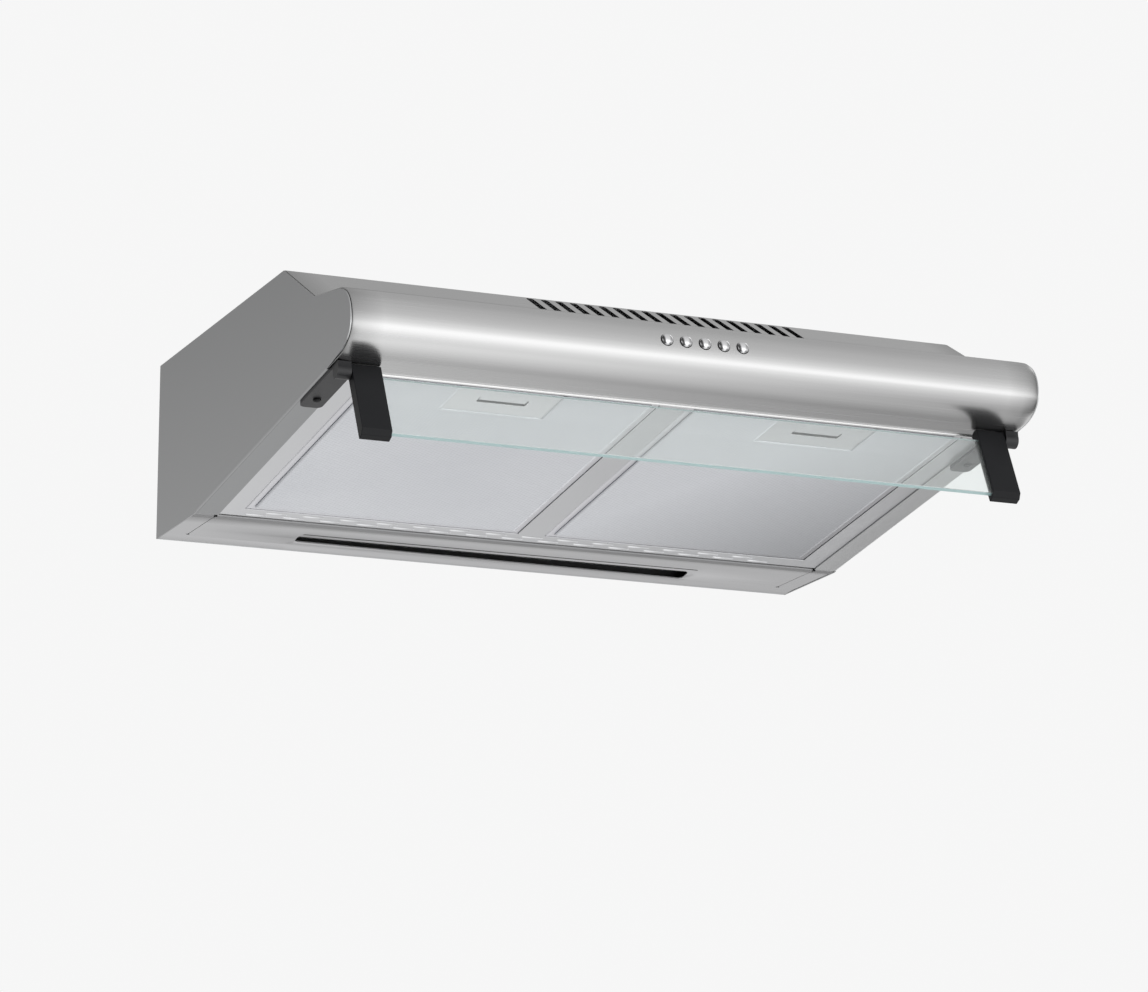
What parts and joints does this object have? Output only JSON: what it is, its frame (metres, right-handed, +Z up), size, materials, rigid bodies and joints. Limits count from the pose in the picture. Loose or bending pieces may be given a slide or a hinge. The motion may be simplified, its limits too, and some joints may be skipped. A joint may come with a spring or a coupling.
{
  "type": "under cabinet range hood",
  "caption": "Under-cabinet range hood: brushed steel casing with a round nose, push buttons, twin aluminium grease filters below and a swing-out glass visor on black arms.",
  "frame": {"origin": "centre of the back panel's outer face, where the hood meets the wall", "axes": "+X to the right as seen from the front, -Y to the front, +Z up; the wall is the plane Y = 0"},
  "size_m": [0.6, 0.5012, 0.198],
  "materials": {
    "brushed_steel": "brushed stainless steel, satin, grain along the width",
    "zinc_steel": "zinc-coated sheet, dull spangle",
    "bright_steel": "bright zinc-plated steel",
    "black_steel": "black-oxide steel screws",
    "filter_aluminium": "rolled aluminium, satin",
    "filter_mesh": "expanded aluminium mesh in layers",
    "black_plastic": "moulded black plastic, fine texture",
    "grey_plastic": "moulded grey plastic",
    "white_plastic": "moulded white plastic, slight gloss",
    "button_chrome": "polished chrome",
    "visor_glass": "clear toughened glass with a green tint at its edges",
    "lamp_glass": "opal lamp tube",
    "lamp_cover": "clear ribbed lens",
    "motor_paint": "dark lacquered steel can"
  },
  "bodies": {
    "casing": {"front_fascia": "brushed_steel", "top_panel": "brushed_steel", "rear_bottom_strip": "brushed_steel", "side_panel_left": "brushed_steel", "side_panel_right": "brushed_steel", "filter_carrier": "brushed_steel", "back_panel": "zinc_steel", "scroll_housing": "zinc_steel", "scroll_cover": "zinc_steel", "motor_bracket": "zinc_steel", "capacitor_clip": "zinc_steel", "flap_pin": "bright_steel", "hinge_screw_left": "black_steel", "hinge_screw_right": "black_steel", "hinge_base_left": "black_plastic", "hinge_base_right": "black_plastic", "switch_block": "grey_plastic", "motor": "motor_paint", "duct_collar": "black_plastic", "lamp_tray": "black_plastic", "lamp_tube": "lamp_glass", "lamp_socket_left": "white_plastic", "lamp_socket_right": "white_plastic", "lamp_cover": "lamp_cover", "terminal_box": "grey_plastic", "terminal_cover": "grey_plastic", "run_capacitor": "white_plastic", "cable_gland": "black_plastic", "gland_nut": "black_plastic", "collar_screw_1": "bright_steel", "collar_screw_2": "bright_steel", "collar_screw_3": "bright_steel", "collar_screw_4": "bright_steel"},
    "visor": {"visor_arm_left": "black_plastic", "visor_arm_right": "black_plastic", "visor_glass": "visor_glass", "hinge_pin_left": "bright_steel", "hinge_pin_right": "bright_steel"},
    "fan": {"fan_wheel": "grey_plastic", "motor_shaft": "bright_steel"},
    "flap_left": {"flap_left": "grey_plastic"},
    "flap_right": {"flap_right": "grey_plastic"},
    "filter_left": {"filter_frame_left": "filter_aluminium", "filter_mesh_left": "filter_mesh", "latch_cover_left": "filter_aluminium", "latch_spring_left": "bright_steel"},
    "filter_right": {"filter_frame_right": "filter_aluminium", "filter_mesh_right": "filter_mesh", "latch_cover_right": "filter_aluminium", "latch_spring_right": "bright_steel"},
    "latch_left": {"filter_latch_left": "filter_aluminium"},
    "latch_right": {"filter_latch_right": "filter_aluminium"},
    "button_off": {"button_off": "button_chrome"},
    "button_speed_1": {"button_speed_1": "button_chrome"},
    "button_speed_2": {"button_speed_2": "button_chrome"},
    "button_speed_3": {"button_speed_3": "button_chrome"},
    "button_lamp": {"button_lamp": "button_chrome"}
  },
  "joints": [
    {"name": "visor_swing", "type": "hinge", "parent": "casing", "child": "visor", "pos_m": [0, -0.4575, -0.0362], "axis": [-1, 0, 0], "range_deg": [-100, 20]},
    {"name": "fan_spin", "type": "hinge", "parent": "casing", "child": "fan", "pos_m": [0, -0.2, 0.0105], "axis": [1, 0, 0], "continuous": true},
    {"name": "flap_left_swing", "type": "hinge", "parent": "casing", "child": "flap_left", "pos_m": [0, -0.162, 0.0857], "axis": [0, 1, 0], "range_deg": [0, 70]},
    {"name": "flap_right_swing", "type": "hinge", "parent": "casing", "child": "flap_right", "pos_m": [0, -0.162, 0.0857], "axis": [0, -1, 0], "range_deg": [0, 70]},
    {"name": "filter_left_drop", "type": "hinge", "parent": "casing", "child": "filter_left", "pos_m": [-0.139, -0.12507, -0.07446], "axis": [1, 0, 0], "range_deg": [0, 75]},
    {"name": "latch_left_slide", "type": "slide", "parent": "filter_left", "child": "latch_left", "axis": [0, 0.9908, -0.1351], "range_m": [0, 0.004], "stiffness_N_per_m": 400, "springref_m": -0.002, "deforming": ["latch_spring_left"]},
    {"name": "filter_right_drop", "type": "hinge", "parent": "casing", "child": "filter_right", "pos_m": [0.139, -0.12507, -0.07446], "axis": [1, 0, 0], "range_deg": [0, 75]},
    {"name": "latch_right_slide", "type": "slide", "parent": "filter_right", "child": "latch_right", "axis": [0, 0.9908, -0.1351], "range_m": [0, 0.004], "stiffness_N_per_m": 400, "springref_m": -0.002, "deforming": ["latch_spring_right"]},
    {"name": "button_off_press", "type": "slide", "parent": "casing", "child": "button_off", "axis": [0, 0.952, -0.3061], "range_m": [0, 0.0025], "stiffness_N_per_m": 600, "springref_m": -0.001},
    {"name": "button_speed_1_press", "type": "slide", "parent": "casing", "child": "button_speed_1", "axis": [0, 0.952, -0.3061], "range_m": [0, 0.0025], "stiffness_N_per_m": 600, "springref_m": -0.001},
    {"name": "button_speed_2_press", "type": "slide", "parent": "casing", "child": "button_speed_2", "axis": [0, 0.952, -0.3061], "range_m": [0, 0.0025], "stiffness_N_per_m": 600, "springref_m": -0.001},
    {"name": "button_speed_3_press", "type": "slide", "parent": "casing", "child": "button_speed_3", "axis": [0, 0.952, -0.3061], "range_m": [0, 0.0025], "stiffness_N_per_m": 600, "springref_m": -0.001},
    {"name": "button_lamp_press", "type": "slide", "parent": "casing", "child": "button_lamp", "axis": [0, 0.952, -0.3061], "range_m": [0, 0.0025], "stiffness_N_per_m": 600, "springref_m": -0.001}
  ]
}
